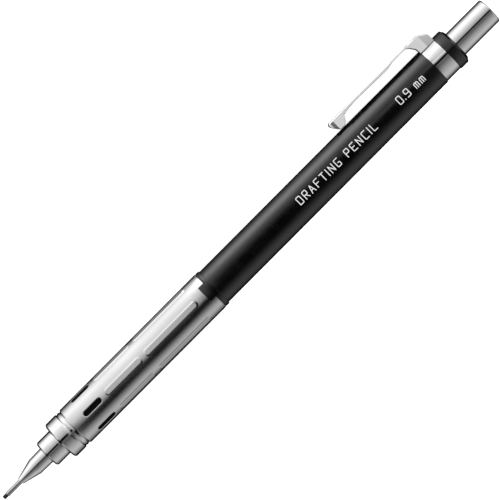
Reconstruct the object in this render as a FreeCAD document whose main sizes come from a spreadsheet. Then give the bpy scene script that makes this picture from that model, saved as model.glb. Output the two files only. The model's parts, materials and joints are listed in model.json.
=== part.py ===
import FreeCAD, Part
import math
import os
import re
import Sketcher
from FreeCAD import Placement, Rotation, Vector

# A clutch mechanical pencil, in millimetres. Its axis is X: the front of the lead sleeve is the
# origin and the push button is at +X. It lies on a surface below it, on its grip and on the corner
# of its pocket clip, which points along +Y and down.

SIZES = {
    # lead, and the sleeve that guides it
    "lead_radius": 0.45,
    "lead_reach": 1.03,
    "lead_length": 60.0,
    "sleeve_reach": 3.9,
    "sleeve_socket": 4.3,
    "sleeve_room": 0.035,
    "sleeve_wall": 0.09,
    # stepped nose
    "cone_length": 4.2,
    "cone_lip": 0.205,
    "cone_back_radius": 1.88,
    "slim_length": 3.45,
    "slim_back_radius": 1.96,
    "step_length": 3.75,
    "step_wall": 0.45,
    "groove_width": 0.16,
    "groove_depth": 0.2,
    "collar_length": 3.24,
    "collar_step": 0.05,
    "nose_bevel": 0.35,
    "ring_length": 0.9,
    "ring_groove": 0.25,
    "thread_relief": 3.0,
    "thread_length": 3.0,
    "thread_depth": 0.16,
    "shank_wall": 0.42,
    "retainer_length": 2.2,
    "retainer_radius": 1.3,
    # metal grip
    "grip_length": 39.8,
    "grip_radius": 4.65,
    "grip_wall": 0.4,
    "grip_bevel": 0.35,
    "row_count": 6,
    "row_turn": 85.0,
    "slot_start": 3.35,
    "slot_length": 4.9,
    "slot_width": 1.25,
    "rib_start": 9.5,
    "short_rib_length": 10.5,
    "long_rib_length": 15.3,
    "rib_gap": 0.9,
    "rib_width": 1.8,
    "rib_height": 0.12,
    "lug_length": 1.5,
    "lug_width": 3.7,
    # barrel and the bush in its front
    "barrel_length": 64.1,
    "barrel_radius": 4.35,
    "barrel_room": 0.6,
    "flange_length": 1.0,
    "insert_wall": 0.5,
    "insert_shoulder": 1.4,
    # end collar
    "spigot_wall": 0.42,
    "spigot_length": 7.0,
    "collar_tube_wall": 0.74,
    "end_collar_length": 2.6,
    "end_collar_step": 0.18,
    "end_collar_bevel": 0.55,
    "end_collar_drop": 0.78,
    # clip
    "band_length": 3.8,
    "band_wall": 0.35,
    "clip_reach": 24.0,
    "clip_width": 3.6,
    "clip_rise": 2.9,
    "clip_sheet": 0.4,
    "clip_skirt": 0.75,
    "clip_root": 1.25,
    "foot_lead": 1.25,
    "foot_flat": 1.35,
    "foot_rise": 1.2,
    "dimple_half": 0.6,
    "arm_rise": 7.0,
    "arm_bow": 0.2,
    "waist_length": 4.0,
    "root_slope_drop": 1.3,
    "root_slope_length": 1.9,
    # push button and eraser
    "button_reach": 10.1,
    "button_wall": 0.5,
    "button_top": 0.8,
    "button_round": 0.45,
    "button_skirt": 15.0,
    "push_travel": 3.0,
    "eraser_length": 9.2,
    "eraser_gap": 1.0,
    "eraser_bare": 2.7,
    "ferrule_length": 1.1,
    # lead pipe and what is in it
    "pipe_bore": 2.05,
    "pipe_wall": 0.4,
    "spare_lead_room": 8.0,
    "spare_lead_gap": 0.15,
    # clutch
    "jaw_count": 3,
    "jaw_setback": 4.05,
    "jaw_length": 12.4,
    "jaw_head_radius": 1.72,
    "jaw_neck_radius": 1.15,
    "jaw_head_length": 0.7,
    "jaw_taper_length": 2.6,
    "jaw_bite_length": 3.0,
    "jaw_bevel": 0.25,
    "jaw_slit": 9.0,
    "jaw_room_gap": 0.4,
    "jaw_room_step": 0.55,
    "throat_room": 0.2,
    "clutch_ring_setback": 0.8,
    "clutch_ring_length": 2.5,
    "clutch_ring_bore": 1.45,
    "clutch_ring_room": 0.4,
    "clutch_ring_travel": 1.0,
    "housing_gap": 0.1,
    "housing_seat": 1.4,
    "housing_wall": 0.25,
    "housing_flange": 1.3,
    "spring_length": 10.5,
    "spring_wire": 0.35,
    "spring_turns": 11,
    "spring_room": 0.15,
    "tail_radius": 1.5,
    "tail_socket": 2.95,
    "coupler_length": 9.0,
    "coupler_shoulder": 5.0,
    "coupler_step": 0.15,
    "coupler_web": 0.8,
    "coupler_lip": 0.25,
    # clearances
    "fit_gap": 0.03,
    "slide_gap": 0.08,
    "face_gap": 0.05,
}

# Stations along the axis and radii, from the sizes and from one another. The radii build outwards
# from the lead and the lead pipe, and the grip's radius sets the collars beside it.
PLACES = {
    # nose and sleeve
    "sleeve_bore": "lead_radius + sleeve_room",
    "sleeve_radius": "sleeve_bore + sleeve_wall",
    "sleeve_back": "sleeve_reach + sleeve_socket",
    "cone_back": "sleeve_reach + cone_length",
    "slim_back": "cone_back + slim_length",
    "step_back": "slim_back + step_length",
    "step_radius": "shank_bore + step_wall",
    "collar_front": "step_back + groove_width",
    "collar_back": "collar_front + collar_length",
    "collar_radius": "grip_radius - collar_step",
    "ring_back": "collar_back + ring_length",
    "ring_neck": "collar_radius - ring_groove",
    "ring_rim": "collar_radius - ring_groove / 2",
    "thread_front": "ring_back + thread_relief",
    "shank_back": "thread_front + thread_length",
    # lead pipe and push button
    "pipe_radius": "pipe_bore + pipe_wall",
    "pipe_front": "coupler_front + coupler_shoulder + face_gap",
    "pipe_back": "eraser_back - eraser_bare",
    "button_bore": "pipe_radius + face_gap",
    "button_radius": "button_bore + button_wall",
    "button_back": "end_back + button_reach",
    "button_front": "button_back - button_skirt",
    "eraser_back": "button_back - button_top - eraser_gap",
    "eraser_front": "eraser_back - eraser_length",
    "spare_lead_front": "eraser_front - spare_lead_room - lead_length",
    "spare_lead_offset": "2 * lead_radius + spare_lead_gap",
    # clutch, from the jaws outwards
    "throat_radius": "lead_radius + throat_room",
    "jaw_front": "slim_back + jaw_setback",
    "jaw_back": "jaw_front + jaw_length",
    "jaw_slope": "(jaw_head_radius - jaw_neck_radius) / jaw_taper_length",
    "clutch_ring_front": "jaw_front + clutch_ring_setback",
    "clutch_ring_back": "clutch_ring_front + clutch_ring_length",
    "clutch_ring_mouth": "jaw_head_radius - (clutch_ring_setback - jaw_head_length) * jaw_slope + fit_gap",
    "clutch_ring_stop": "clutch_ring_front - clutch_ring_travel",
    "clutch_ring_radius": "shank_bore - clutch_ring_room",
    "jaw_room_front": "jaw_front - push_travel - jaw_room_gap",
    "jaw_room_radius": "shank_bore - jaw_room_step",
    "coupler_radius": "pipe_radius - coupler_step",
    "spring_outer": "coupler_radius - fit_gap",
    "spring_radius": "spring_outer - spring_wire / 2",
    "housing_front": "clutch_ring_back + housing_gap",
    "housing_bore": "spring_outer + spring_room",
    "housing_radius": "housing_bore + housing_wall",
    "housing_back": "shank_back + housing_flange",
    "shank_bore": "housing_radius + slide_gap",
    "thread_radius": "shank_bore + shank_wall",
    "insert_bore": "thread_radius + fit_gap",
    "insert_radius": "insert_bore + insert_wall",
    "insert_front": "tube_front + face_gap",
    "insert_back": "housing_back + insert_shoulder",
    "spring_front": "housing_front + housing_seat + face_gap",
    "spring_back": "spring_front + spring_length",
    "coupler_front": "spring_back + face_gap",
    "coupler_back": "coupler_front + coupler_length",
    "tail_front": "jaw_back + face_gap",
    "tail_back": "coupler_front + tail_socket",
    # grip and barrel
    "grip_front": "ring_back",
    "grip_back": "grip_front + grip_length",
    "grip_bore": "grip_radius - grip_wall",
    "long_rib_start": "grip_front + rib_start + short_rib_length + rib_gap",
    "tube_front": "grip_front + face_gap",
    "tube_radius": "grip_bore - fit_gap",
    "flange_front": "grip_back + face_gap",
    "flange_back": "grip_back + flange_length",
    "barrel_bore": "pipe_radius + barrel_room",
    # end collar and clip
    "band_front": "flange_back + barrel_length",
    "band_back": "band_front + band_length",
    "guide_bore": "button_radius + slide_gap",
    "spigot_front": "band_front - spigot_length",
    "spigot_radius": "guide_bore + spigot_wall",
    "collar_tube_radius": "guide_bore + collar_tube_wall",
    "band_bore": "collar_tube_radius + fit_gap",
    "band_radius": "band_bore + band_wall",
    "end_front": "band_back + face_gap",
    "end_back": "end_front + end_collar_length",
    "end_collar_radius": "band_radius + end_collar_step",
    "clip_height": "band_radius + clip_rise",
    "clip_tip": "band_front - clip_reach",
    "clip_root_front": "band_front - clip_root",
    "clip_waist": "clip_root_front - waist_length",
    "skirt_height": "clip_height - clip_skirt",
    "web_height": "clip_height - clip_sheet",
    "foot_front": "clip_tip + foot_lead",
    "foot_back": "foot_front + foot_flat",
    "foot_height": "barrel_radius + face_gap",
    "channel_front": "foot_back + foot_rise",
}


def expand(expression):
    """Replace station names by what they stand for, and size names by their sheet cells."""

    def word(match):
        name = match.group()
        if name in PLACES:
            return "(" + expand(PLACES[name]) + ")"
        return "Sizes." + name

    return re.sub(r"[a-z][a-z_]+", word, expression)


def value(expression):
    """The number that an expression of sizes and stations gives now."""
    return float(sheet.evalExpression(expand(expression)))


def bind(target, name, expression):
    """Tie a property, or a sketch's constraint, to the sheet."""
    target.setExpression(name, expand(expression))


def new_body(label, roll=0.0):
    """A body turned about the pencil's axis by roll degrees."""
    body = document.addObject("PartDesign::Body", label)
    body.Label = label
    body.Placement = Placement(Vector(), Rotation(Vector(1, 0, 0), roll))
    return body


def new_sketch(body, name, role, lift=None):
    """A sketch on one of the body's own origin planes, raised by the expression lift."""
    sketch = body.newObject("Sketcher::SketchObject", name)
    plane = next(item for item in body.Origin.OriginFeatures if item.Role == role)
    sketch.AttachmentSupport = [(plane, "")]
    sketch.MapMode = "FlatFace"
    if lift:
        bind(sketch, "AttachmentOffset.Base.z", lift)
    return sketch


def fix(sketch, kind, element, point, expression):
    """Dimension one point from the sketch's origin."""
    constraint = Sketcher.Constraint(kind, -1, 1, element, point, value(expression))
    index = sketch.addConstraint(constraint)
    bind(sketch, f"Constraints[{index}]", expression)


def outline(body, name, points, role="XZ_Plane", lift=None):
    """A closed outline of straight sides through points given as pairs of expressions."""
    sketch = new_sketch(body, name, role, lift)
    corners = [Vector(value(across), value(up), 0) for across, up in points]
    count = len(corners)
    for index in range(count):
        sketch.addGeometry(Part.LineSegment(corners[index], corners[(index + 1) % count]))
    for index in range(count):
        sketch.addConstraint(Sketcher.Constraint("Coincident", index, 2, (index + 1) % count, 1))
    for index, (across, up) in enumerate(points):
        fix(sketch, "DistanceX", index, 1, across)
        fix(sketch, "DistanceY", index, 1, up)
    return sketch


def capsule(body, name, start, length, width, lift):
    """A round-ended slot outline lying along X and centred on it."""
    sketch = new_sketch(body, name, "XY_Plane", lift)
    half = value(width) / 2
    left = value(start) + half
    right = value(start) + value(length) - half
    sketch.addGeometry(Part.LineSegment(Vector(left, half, 0), Vector(right, half, 0)))
    sketch.addGeometry(Part.LineSegment(Vector(right, -half, 0), Vector(left, -half, 0)))
    for centre, begin in ((right, -90), (left, 90)):
        circle = Part.Circle(Vector(centre, 0, 0), Vector(0, 0, 1), half)
        sketch.addGeometry(Part.ArcOfCircle(circle, math.radians(begin), math.radians(begin + 180)))
    sketch.addConstraint(Sketcher.Constraint("Tangent", 0, 2, 2, 2))
    sketch.addConstraint(Sketcher.Constraint("Tangent", 1, 1, 2, 1))
    sketch.addConstraint(Sketcher.Constraint("Tangent", 1, 2, 3, 2))
    sketch.addConstraint(Sketcher.Constraint("Tangent", 0, 1, 3, 1))
    fix(sketch, "DistanceX", 3, 3, f"{start} + {width} / 2")
    fix(sketch, "DistanceX", 2, 3, f"{start} + {length} - {width} / 2")
    fix(sketch, "DistanceY", 3, 3, "0")
    fix(sketch, "DistanceY", 0, 1, f"{width} / 2")
    return sketch


def turned(label, points, roll=0.0, angle=None):
    """A body made by turning a half section about X, through a sector where angle is given."""
    body = new_body(label, roll)
    revolution = body.newObject("PartDesign::Revolution", label + "_turned")
    sketch = outline(body, label + "_section", points)
    revolution.Profile = sketch
    revolution.ReferenceAxis = (sketch, ["H_Axis"])
    revolution.Angle = 360
    if angle:
        revolution.Midplane = True
        bind(revolution, "Angle", angle)
    body.Tip = revolution
    document.recompute()
    return body


def tube(label, front, back, inner, outer):
    """A plain tube, its four measures given as expressions."""
    return turned(label, [(front, inner), (front, outer), (back, outer), (back, inner)])


def extrude(body, kind, name, sketch, length, both_ways=False):
    """A Pad or a Pocket of one length, or as long to each side of the sketch."""
    feature = body.newObject("PartDesign::" + kind, name)
    feature.Profile = sketch
    bind(feature, "Length", length)
    if both_ways:
        feature.Midplane = True
    sketch.Visibility = False
    body.Tip = feature
    document.recompute()
    return feature


def cut(body, name, sketch, length, both_ways=False):
    """A Pocket that has to take material away."""
    before = body.Shape.Volume
    feature = extrude(body, "Pocket", name, sketch, length, both_ways)
    if not body.Shape.Volume < before - 1e-6:
        raise ValueError(f"{name} cuts nothing")
    return feature


def repeat_round(body, name, features, count):
    """Repeat features round the X axis."""
    pattern = body.newObject("PartDesign::PolarPattern", name)
    pattern.Originals = features
    axis = next(item for item in body.Origin.OriginFeatures if item.Role == "X_Axis")
    pattern.Axis = (axis, [""])
    pattern.Angle = 360
    bind(pattern, "Occurrences", count)
    body.Tip = pattern
    document.recompute()
    return pattern


def rod(label, front, length, radius, side="0"):
    """A plain round rod along X, moved sideways by the expression side."""
    piece = document.addObject("Part::Cylinder", label)
    piece.Label = label
    bind(piece, "Radius", radius)
    bind(piece, "Height", length)
    piece.Placement = Placement(Vector(), Rotation(Vector(0, 1, 0), 90))
    bind(piece, "Placement.Base.x", front)
    bind(piece, "Placement.Base.y", side)
    return piece


def make_sheet():
    for row, (name, number) in enumerate(SIZES.items(), start=1):
        sheet.set(f"A{row}", name)
        sheet.set(f"B{row}", str(number))
        sheet.setAlias(f"B{row}", name)
    document.recompute()


def clip_roll():
    """Turn about X that sets the clip's corner on the plane that the grip rests on."""
    corner = math.hypot(value("clip_height"), value("clip_width / 2"))
    corner_below = math.degrees(math.asin(value("grip_radius") / corner))
    half_angle = math.degrees(math.atan2(value("clip_width / 2"), value("clip_height")))
    return -90 - (corner_below - half_angle)


def nose_cone():
    """Stepped nose with the jaws' room inside and a threaded shank behind."""
    return turned("nose_cone", [
        ("sleeve_reach", "sleeve_radius"),
        ("sleeve_reach", "sleeve_radius + cone_lip"),
        ("cone_back", "cone_back_radius"),
        ("slim_back", "slim_back_radius"),
        ("slim_back", "step_radius - nose_bevel"),
        ("slim_back + nose_bevel", "step_radius"),
        ("step_back", "step_radius"),
        ("step_back", "step_radius - groove_depth"),
        ("collar_front", "step_radius - groove_depth"),
        ("collar_front", "collar_radius - nose_bevel"),
        ("collar_front + nose_bevel", "collar_radius"),
        ("collar_back - nose_bevel / 2", "collar_radius"),
        ("collar_back", "collar_radius - nose_bevel / 2"),
        ("collar_back", "thread_radius - thread_depth"),
        ("thread_front", "thread_radius - thread_depth"),
        ("thread_front", "thread_radius"),
        ("shank_back", "thread_radius"),
        ("shank_back", "shank_bore"),
        ("clutch_ring_stop", "shank_bore"),
        ("clutch_ring_stop", "jaw_room_radius"),
        ("jaw_room_front", "jaw_room_radius"),
        ("jaw_room_front", "retainer_radius"),
        ("sleeve_back", "retainer_radius"),
        ("sleeve_back", "sleeve_radius"),
    ])


def nose_ring():
    """Grooved spacer ring between the nose and the grip."""
    return turned("nose_ring", [
        ("collar_back + fit_gap", "insert_bore"),
        ("collar_back + fit_gap", "ring_neck"),
        ("collar_back + ring_groove", "ring_neck"),
        ("collar_back + ring_groove", "ring_rim"),
        ("ring_back - ring_groove", "ring_rim"),
        ("ring_back - ring_groove", "ring_neck"),
        ("ring_back - fit_gap", "ring_neck"),
        ("ring_back - fit_gap", "insert_bore"),
    ])


def thread_insert():
    """Threaded bush in the barrel's front, with the shoulder that holds the clutch housing."""
    return turned("thread_insert", [
        ("insert_front", "insert_bore"),
        ("insert_front", "insert_radius"),
        ("insert_back", "insert_radius"),
        ("insert_back", "shank_bore"),
        ("housing_back", "shank_bore"),
        ("housing_back", "insert_bore"),
    ])


def clutch_housing():
    """Fixed tube that seats the spring's front end."""
    return turned("clutch_housing", [
        ("housing_front", "clutch_ring_bore"),
        ("housing_front", "housing_radius"),
        ("shank_back + face_gap", "housing_radius"),
        ("shank_back + face_gap", "thread_radius"),
        ("housing_back", "thread_radius"),
        ("housing_back", "housing_bore"),
        ("housing_front + housing_seat", "housing_bore"),
        ("housing_front + housing_seat", "clutch_ring_bore"),
    ])


def chuck_ring():
    """Ring whose taper closes the jaws."""
    return turned("chuck_ring", [
        ("clutch_ring_front", "clutch_ring_mouth"),
        ("clutch_ring_front", "clutch_ring_radius"),
        ("clutch_ring_back", "clutch_ring_radius"),
        ("clutch_ring_back", "clutch_ring_bore"),
        ("clutch_ring_front + (clutch_ring_mouth - clutch_ring_bore) / jaw_slope", "clutch_ring_bore"),
    ])


def chuck_jaw(number, roll):
    """One third of the split chuck, from its biting head to its root."""
    return turned(f"chuck_jaw_{number}", [
        ("jaw_front", "lead_radius + fit_gap"),
        ("jaw_front", "jaw_head_radius - jaw_bevel"),
        ("jaw_front + jaw_bevel", "jaw_head_radius"),
        ("jaw_front + jaw_head_length", "jaw_head_radius"),
        ("jaw_front + jaw_head_length + jaw_taper_length", "jaw_neck_radius"),
        ("jaw_back", "jaw_neck_radius"),
        ("jaw_back", "throat_radius"),
        ("jaw_front + jaw_bite_length", "throat_radius"),
        ("jaw_front + jaw_bite_length", "lead_radius + fit_gap"),
    ], roll, "360 / jaw_count - jaw_slit")


def chuck_coupler():
    """Plug that joins the chuck to the lead pipe and funnels a fresh lead into the chuck."""
    return turned("chuck_coupler", [
        ("coupler_front", "tail_radius + fit_gap"),
        ("coupler_front", "coupler_radius"),
        ("pipe_front - face_gap", "coupler_radius"),
        ("pipe_front - face_gap", "pipe_bore - fit_gap"),
        ("coupler_back", "pipe_bore - fit_gap"),
        ("coupler_back", "pipe_bore - coupler_lip"),
        ("tail_back + coupler_web", "throat_radius"),
        ("tail_back", "throat_radius"),
        ("tail_back", "tail_radius + fit_gap"),
    ])


def chuck_spring():
    """Return spring between the housing's seat and the coupler."""
    body = new_body("chuck_spring")
    sketch = new_sketch(body, "spring_wire_section", "XZ_Plane")
    centre = Vector(value("spring_front + spring_wire / 2"), value("spring_radius"), 0)
    sketch.addGeometry(Part.Circle(centre, Vector(0, 0, 1), value("spring_wire / 2")))
    fix(sketch, "DistanceX", 0, 3, "spring_front + spring_wire / 2")
    fix(sketch, "DistanceY", 0, 3, "spring_radius")
    index = sketch.addConstraint(Sketcher.Constraint("Radius", 0, value("spring_wire / 2")))
    bind(sketch, f"Constraints[{index}]", "spring_wire / 2")
    helix = body.newObject("PartDesign::AdditiveHelix", "spring_coils")
    helix.Profile = sketch
    helix.ReferenceAxis = (sketch, ["H_Axis"])
    helix.Mode = "height-turns-angle"
    bind(helix, "Height", "spring_length - spring_wire")
    bind(helix, "Turns", "spring_turns")
    body.Tip = helix
    document.recompute()
    return body


def grip_sleeve(roll):
    """Thin metal grip with rows of slots and raised ribs, notched at the back for the barrel."""
    body = turned("grip_sleeve", [
        ("grip_front", "grip_bore"),
        ("grip_front", "grip_radius - grip_bevel"),
        ("grip_front + grip_bevel", "grip_radius"),
        ("grip_back - grip_bevel / 2", "grip_radius"),
        ("grip_back", "grip_radius - grip_bevel / 2"),
        ("grip_back", "grip_bore"),
    ], roll)
    slot_line = capsule(body, "slot_outline", "grip_front + slot_start", "slot_length", "slot_width",
                        "grip_radius + grip_wall")
    slot = cut(body, "slot", slot_line, "3 * grip_wall")
    slots = repeat_round(body, "slots", [slot], "row_count")
    short_line = capsule(body, "short_rib_outline", "grip_front + rib_start", "short_rib_length",
                         "rib_width", "grip_radius - grip_wall / 2")
    short_rib = extrude(body, "Pad", "short_rib", short_line, "grip_wall / 2 + rib_height")
    short_ribs = repeat_round(body, "short_ribs", [short_rib], "row_count")
    long_line = capsule(body, "long_rib_outline", "long_rib_start", "long_rib_length", "rib_width",
                        "grip_radius - grip_wall / 2")
    long_rib = extrude(body, "Pad", "long_rib", long_line, "grip_wall / 2 + rib_height")
    long_ribs = repeat_round(body, "long_ribs", [long_rib], "row_count")
    notch = outline(body, "notch_outline", [
        ("grip_back - lug_length", "-lug_width / 2 - face_gap"),
        ("grip_back + lug_length", "-lug_width / 2 - face_gap"),
        ("grip_back + lug_length", "lug_width / 2 + face_gap"),
        ("grip_back - lug_length", "lug_width / 2 + face_gap"),
    ], "XY_Plane")
    cut(body, "notches", notch, "3 * grip_radius", both_ways=True)
    return body


def barrel(roll):
    """Resin barrel with its front tube inside the grip, and two lugs in the grip's notches."""
    turned_barrel = turned("barrel_turned", [
        ("tube_front", "insert_radius + fit_gap"),
        ("tube_front", "tube_radius"),
        ("flange_front", "tube_radius"),
        ("flange_front", "collar_radius"),
        ("flange_back", "collar_radius"),
        ("flange_back", "barrel_radius"),
        ("band_front", "barrel_radius"),
        ("band_front", "spigot_radius + fit_gap"),
        ("spigot_front - face_gap", "spigot_radius + fit_gap"),
        ("spigot_front - face_gap", "barrel_bore"),
        ("insert_back + face_gap", "barrel_bore"),
        ("insert_back + face_gap", "insert_radius + fit_gap"),
    ])
    ring = tube("lug_ring", "grip_back - lug_length + face_gap", "flange_back - face_gap",
                "tube_radius - fit_gap", "collar_radius")
    strip = document.addObject("Part::Box", "lug_strip")
    bind(strip, "Length", "2 * grip_length")
    bind(strip, "Width", "lug_width")
    bind(strip, "Height", "4 * collar_radius")
    bind(strip, "Placement.Base.x", "grip_back - grip_length")
    bind(strip, "Placement.Base.y", "-lug_width / 2")
    bind(strip, "Placement.Base.z", "-2 * collar_radius")
    lugs = document.addObject("Part::Common", "lugs")
    lugs.Base = ring
    lugs.Tool = strip
    whole = document.addObject("Part::Fuse", "barrel")
    whole.Base = turned_barrel
    whole.Tool = lugs
    whole.Label = "barrel"
    whole.Placement = Placement(Vector(), Rotation(Vector(1, 0, 0), roll))
    return whole


def end_collar():
    """Plug in the barrel's rear that carries the clip's band and guides the push button."""
    return turned("end_collar", [
        ("spigot_front", "guide_bore"),
        ("spigot_front", "spigot_radius"),
        ("band_front", "spigot_radius"),
        ("band_front", "collar_tube_radius"),
        ("end_front", "collar_tube_radius"),
        ("end_front", "end_collar_radius"),
        ("end_back - end_collar_bevel", "end_collar_radius"),
        ("end_back", "end_collar_radius - end_collar_drop"),
        ("end_back", "guide_bore"),
    ])


def clip_band(roll):
    """Band round the end collar, with the folded root that carries the clip's arm."""
    body = turned("clip_band", [
        ("band_front + fit_gap", "band_bore"),
        ("band_front + fit_gap", "band_radius"),
        ("band_back", "band_radius"),
        ("band_back", "band_bore"),
    ], roll)
    root = outline(body, "root_outline", [
        ("band_front + face_gap", "band_radius - band_wall / 2"),
        ("band_back", "band_radius - band_wall / 2"),
        ("band_back", "clip_height - root_slope_drop"),
        ("band_back - root_slope_length", "clip_height"),
        ("clip_root_front + face_gap", "clip_height"),
        ("clip_root_front + face_gap", "web_height"),
        ("clip_root_front + clip_sheet", "web_height - clip_sheet"),
        ("band_front + face_gap", "band_radius + clip_sheet"),
    ])
    extrude(body, "Pad", "root", root, "clip_width", both_ways=True)
    hollow = outline(body, "root_hollow_outline", [
        ("clip_root_front", "band_radius"),
        ("band_back - clip_sheet", "band_radius"),
        ("band_back - clip_sheet", "web_height - root_slope_drop + clip_sheet / 2"),
        ("band_back - root_slope_length", "web_height"),
        ("clip_root_front", "web_height"),
    ])
    cut(body, "root_hollow", hollow, "clip_width - 2 * clip_sheet", both_ways=True)
    return body


def clip_arm(roll):
    """Stamped channel that springs against the barrel at its foot."""
    body = new_body("clip_arm", roll)
    side = outline(body, "arm_outline", [
        ("clip_tip", "skirt_height"),
        ("foot_front", "foot_height"),
        ("foot_back", "foot_height"),
        ("channel_front", "skirt_height"),
        ("clip_tip + arm_rise", "skirt_height + arm_bow"),
        ("clip_waist - arm_rise", "skirt_height"),
        ("clip_waist", "web_height"),
        ("clip_root_front", "web_height"),
        ("clip_root_front", "clip_height"),
        ("clip_tip + clip_sheet", "clip_height"),
        ("clip_tip", "web_height"),
    ])
    extrude(body, "Pad", "arm", side, "clip_width", both_ways=True)
    channel = outline(body, "channel_outline", [
        ("channel_front", "web_height"),
        ("channel_front", "barrel_radius"),
        ("clip_root_front", "barrel_radius"),
        ("clip_root_front", "web_height"),
    ])
    cut(body, "channel", channel, "clip_width - 2 * clip_sheet", both_ways=True)
    dimple = outline(body, "dimple_outline", [
        ("foot_front - dimple_half", "clip_height + clip_sheet"),
        ("foot_front + clip_sheet / 2", "foot_height + clip_sheet"),
        ("foot_back - clip_sheet / 2", "foot_height + clip_sheet"),
        ("foot_back + dimple_half", "clip_height + clip_sheet"),
    ])
    cut(body, "dimple", dimple, "clip_width - 2 * clip_sheet", both_ways=True)
    return body


def push_button():
    """Metal cap over the lead pipe's end."""
    body = turned("push_button", [
        ("button_front", "button_bore"),
        ("button_front", "button_radius"),
        ("button_back", "button_radius"),
        ("button_back", "0"),
        ("button_back - button_top", "0"),
        ("button_back - button_top", "button_bore"),
    ])
    rims = []
    for index, edge in enumerate(body.Shape.Edges, start=1):
        box = edge.BoundBox
        if box.XLength < 1e-6 and box.XMin > value("button_back") - 1e-6 and box.YLength > 1:
            rims.append(f"Edge{index}")
    turned_cap = body.Tip
    fillet = body.newObject("PartDesign::Fillet", "button_rounding")
    fillet.Base = (turned_cap, rims)
    bind(fillet, "Radius", "button_round")
    body.Tip = fillet
    document.recompute()
    return body


def make_pieces():
    """Every node of the pencil, front to back."""
    roll = clip_roll()
    row_roll = roll + value("row_turn")
    pieces = [
        rod("lead", "-lead_reach", "lead_length", "lead_radius"),
        tube("lead_sleeve", "0", "sleeve_back", "sleeve_bore", "sleeve_radius"),
        tube("lead_retainer", "sleeve_back", "sleeve_back + retainer_length",
             "lead_radius + fit_gap", "retainer_radius"),
        nose_cone(),
        nose_ring(),
        thread_insert(),
        clutch_housing(),
        chuck_ring(),
        chuck_spring(),
        tube("chuck_tail", "tail_front", "tail_back", "throat_radius", "tail_radius"),
        chuck_coupler(),
        grip_sleeve(row_roll),
        barrel(row_roll),
        tube("lead_pipe", "pipe_front", "pipe_back", "pipe_bore", "pipe_radius"),
        end_collar(),
        clip_band(roll),
        clip_arm(roll),
        push_button(),
        rod("eraser", "eraser_front", "eraser_length", "pipe_bore - fit_gap"),
        tube("eraser_ferrule", "pipe_back + face_gap", "pipe_back + face_gap + ferrule_length",
             "pipe_bore", "pipe_radius"),
    ]
    jaw_count = int(value("jaw_count"))
    for number in range(jaw_count):
        pieces.append(chuck_jaw(number + 1, 360 / jaw_count * number))
    for number, side in ((1, "spare_lead_offset"), (2, "-spare_lead_offset")):
        pieces.append(rod(f"spare_lead_{number}", "spare_lead_front", "lead_length", "lead_radius", side))
    return pieces


def check(pieces):
    """Stop before anything is written if a feature failed or a piece isn't one good solid."""
    document.recompute()
    for item in document.Objects:
        if "Invalid" in item.State or "Error" in item.State:
            raise ValueError(f"{item.Label} failed: {item.State}")
    for piece in pieces:
        shape = piece.Shape
        if shape.isNull() or not shape.isValid() or len(shape.Solids) != 1:
            raise ValueError(f"{piece.Label} isn't one valid solid")


document = FreeCAD.newDocument("mechanical_pencil")
sheet = document.addObject("Spreadsheet::Sheet", "Sizes")
make_sheet()
nodes = make_pieces()
check(nodes)
os.makedirs("parts", exist_ok=True)
for node in nodes:
    node.Shape.exportStep(f"parts/{node.Label}.step")
    box = node.Shape.BoundBox
    print(f"{node.Label:16} X {box.XMin:7.2f} {box.XMax:7.2f}  Y {box.YMin:6.2f} {box.YMax:6.2f}"
          f"  Z {box.ZMin:6.2f} {box.ZMax:6.2f}  {node.Shape.Volume:8.2f} mm3")
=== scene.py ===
import json
import math

import bmesh
import bpy
from mathutils import Matrix, Vector


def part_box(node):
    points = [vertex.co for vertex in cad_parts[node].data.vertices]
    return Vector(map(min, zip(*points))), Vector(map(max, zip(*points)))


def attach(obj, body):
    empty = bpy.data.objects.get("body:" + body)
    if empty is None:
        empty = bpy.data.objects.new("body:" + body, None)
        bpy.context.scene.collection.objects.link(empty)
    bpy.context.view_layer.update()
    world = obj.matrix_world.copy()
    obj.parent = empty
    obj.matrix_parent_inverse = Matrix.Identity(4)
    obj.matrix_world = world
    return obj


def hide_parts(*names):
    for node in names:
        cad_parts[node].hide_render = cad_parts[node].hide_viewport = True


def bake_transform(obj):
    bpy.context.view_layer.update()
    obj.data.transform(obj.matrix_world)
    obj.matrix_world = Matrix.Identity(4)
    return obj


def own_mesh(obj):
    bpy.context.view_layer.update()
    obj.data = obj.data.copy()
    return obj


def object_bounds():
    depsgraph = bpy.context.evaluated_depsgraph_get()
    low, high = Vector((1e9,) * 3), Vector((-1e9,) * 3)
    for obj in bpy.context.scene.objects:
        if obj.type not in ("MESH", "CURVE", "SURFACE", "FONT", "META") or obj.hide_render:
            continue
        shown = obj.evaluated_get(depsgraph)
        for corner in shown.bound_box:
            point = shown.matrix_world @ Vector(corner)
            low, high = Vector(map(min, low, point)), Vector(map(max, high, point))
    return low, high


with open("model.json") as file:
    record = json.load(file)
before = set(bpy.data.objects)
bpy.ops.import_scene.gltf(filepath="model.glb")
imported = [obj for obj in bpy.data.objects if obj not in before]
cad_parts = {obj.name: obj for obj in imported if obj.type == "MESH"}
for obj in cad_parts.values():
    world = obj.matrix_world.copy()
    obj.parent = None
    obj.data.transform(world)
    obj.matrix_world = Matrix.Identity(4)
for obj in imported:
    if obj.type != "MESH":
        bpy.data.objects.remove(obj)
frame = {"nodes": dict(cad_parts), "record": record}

# The pencil lies along X. Lengths in the tables below are millimetres.
MM = 0.001
cad_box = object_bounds()
joints = {joint["name"]: joint for joint in frame["record"]["behaviour"]["joints"]}
SLOTS = {part["node"]: part["material_slot"] for part in frame["record"]["subparts"]}
AXIS = Vector((1, 0, 0))
CLIP_SIDE = Vector(joints["clip_flex"]["axis"])
CLIP_UP = AXIS.cross(CLIP_SIDE)


def span(node):
    """First and last station of a node along the pencil, in millimetres."""
    low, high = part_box(node)
    return low[0] / MM, high[0] / MM


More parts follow.
